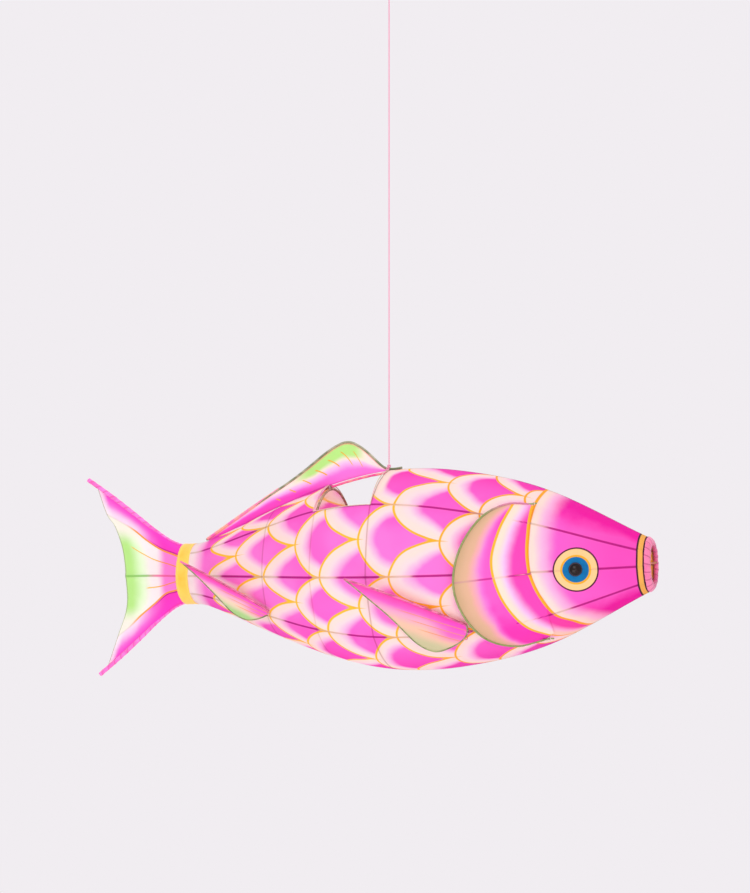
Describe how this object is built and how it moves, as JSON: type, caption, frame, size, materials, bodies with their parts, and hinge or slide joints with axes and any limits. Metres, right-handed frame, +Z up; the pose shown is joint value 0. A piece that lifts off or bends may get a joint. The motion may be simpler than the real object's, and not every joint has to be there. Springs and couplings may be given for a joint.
{
  "type": "pinata",
  "caption": "Hanging fish of painted cloth over a split-bamboo frame, with fins, gill covers, an open hatch in its back and one hanging thread.",
  "frame": {"origin": "the point that the thread's loop hangs from, inside the top of the loop", "axes": "+Z up along the thread, +X towards the fish's mouth, +Y to the fish's left"},
  "size_m": [0.7537, 0.2824, 0.8957],
  "materials": {
    "hanging_thread": "matte",
    "lashing_thread": "matte",
    "painted_skin": "satin",
    "painted_fin_cloth": "satin",
    "yellow_cloth": "satin",
    "pink_binding": "matte",
    "wrapped_spar": "satin",
    "olive_cane": "satin",
    "maroon_cane": "satin",
    "bamboo": "matte",
    "pupil": "gloss"
  },
  "bodies": {
    "hanging_cord": {"hanging_thread": "hanging_thread", "hanging_loop": "hanging_thread"},
    "fish": {"back_ring": "bamboo", "dorsal_fin_skin": "painted_fin_cloth", "dorsal_fin_spar": "olive_cane", "eye_pupil_left": "pupil", "eye_pupil_right": "pupil", "frame_lashings": "lashing_thread", "gill_ring": "bamboo", "gill_ties_left": "lashing_thread", "gill_ties_right": "lashing_thread", "girth_ring": "bamboo", "hanging_knot": "hanging_thread", "mouth_binding": "pink_binding", "mouth_crossbar": "bamboo", "mouth_hoop": "bamboo", "rear_ring": "bamboo", "rib_bottom": "bamboo", "rib_lower_left": "bamboo", "rib_lower_right": "bamboo", "rib_middle_left": "bamboo", "rib_middle_right": "bamboo", "rib_top": "bamboo", "rib_upper_left": "bamboo", "rib_upper_right": "bamboo", "skin_back": "painted_skin", "skin_head": "painted_skin", "skin_rear": "painted_skin", "skin_shoulder_lower": "painted_skin", "skin_shoulder_upper": "painted_skin", "skin_tail": "painted_skin", "tail_band": "yellow_cloth", "tail_fin_skin": "painted_fin_cloth", "tail_ring": "bamboo", "tail_root_skin": "painted_fin_cloth", "tail_spar_lower": "wrapped_spar", "tail_spar_middle": "bamboo", "tail_spar_upper": "wrapped_spar"},
    "right_pectoral_fin": {"pectoral_fin_skin_right": "painted_fin_cloth", "pectoral_fin_spar_right": "maroon_cane", "pectoral_fin_wire_right": "olive_cane", "pectoral_fin_ties_right": "lashing_thread"},
    "left_pectoral_fin": {"pectoral_fin_skin_left": "painted_fin_cloth", "pectoral_fin_spar_left": "maroon_cane", "pectoral_fin_wire_left": "olive_cane", "pectoral_fin_ties_left": "lashing_thread"},
    "right_rear_fin": {"rear_fin_skin_right": "painted_fin_cloth", "rear_fin_spar_right": "maroon_cane", "rear_fin_wire_right": "olive_cane", "rear_fin_ties_right": "lashing_thread"},
    "left_rear_fin": {"rear_fin_skin_left": "painted_fin_cloth", "rear_fin_spar_left": "maroon_cane", "rear_fin_wire_left": "olive_cane", "rear_fin_ties_left": "lashing_thread"},
    "right_gill_cover": {"gill_cover_right": "painted_fin_cloth", "gill_hoop_right": "olive_cane", "gill_strut_right": "bamboo"},
    "left_gill_cover": {"gill_cover_left": "painted_fin_cloth", "gill_hoop_left": "olive_cane", "gill_strut_left": "bamboo"}
  },
  "joints": [
    {"name": "fish_turn", "type": "hinge", "parent": "hanging_cord", "child": "fish", "pos_m": [0, 0, -0.621], "axis": [0, 0, 1], "continuous": true},
    {"name": "right_pectoral_fin_hinge", "type": "hinge", "parent": "fish", "child": "right_pectoral_fin", "pos_m": [0.12437, -0.08374, -0.82312], "axis": [0.4472, -0.4323, 0.783], "range_deg": [0, 35]},
    {"name": "right_rear_fin_hinge", "type": "hinge", "parent": "fish", "child": "right_rear_fin", "pos_m": [-0.1386, -0.0604, -0.80403], "axis": [0.4959, -0.4647, 0.7336], "range_deg": [-8, 35]},
    {"name": "right_gill_cover_hinge", "type": "hinge", "parent": "fish", "child": "right_gill_cover", "pos_m": [0.20839, -0.0428, -0.74748], "axis": [-0.0911, -0.1209, 0.9885], "range_deg": [-2, 8]},
    {"name": "left_pectoral_fin_hinge", "type": "hinge", "parent": "fish", "child": "left_pectoral_fin", "pos_m": [0.12437, 0.08374, -0.82312], "axis": [-0.4472, -0.4323, -0.783], "range_deg": [0, 35]},
    {"name": "left_rear_fin_hinge", "type": "hinge", "parent": "fish", "child": "left_rear_fin", "pos_m": [-0.1386, 0.0604, -0.80403], "axis": [-0.4959, -0.4647, -0.7336], "range_deg": [-8, 35]},
    {"name": "left_gill_cover_hinge", "type": "hinge", "parent": "fish", "child": "left_gill_cover", "pos_m": [0.20839, 0.0428, -0.74748], "axis": [0.0911, -0.1209, -0.9885], "range_deg": [-2, 8]}
  ]
}
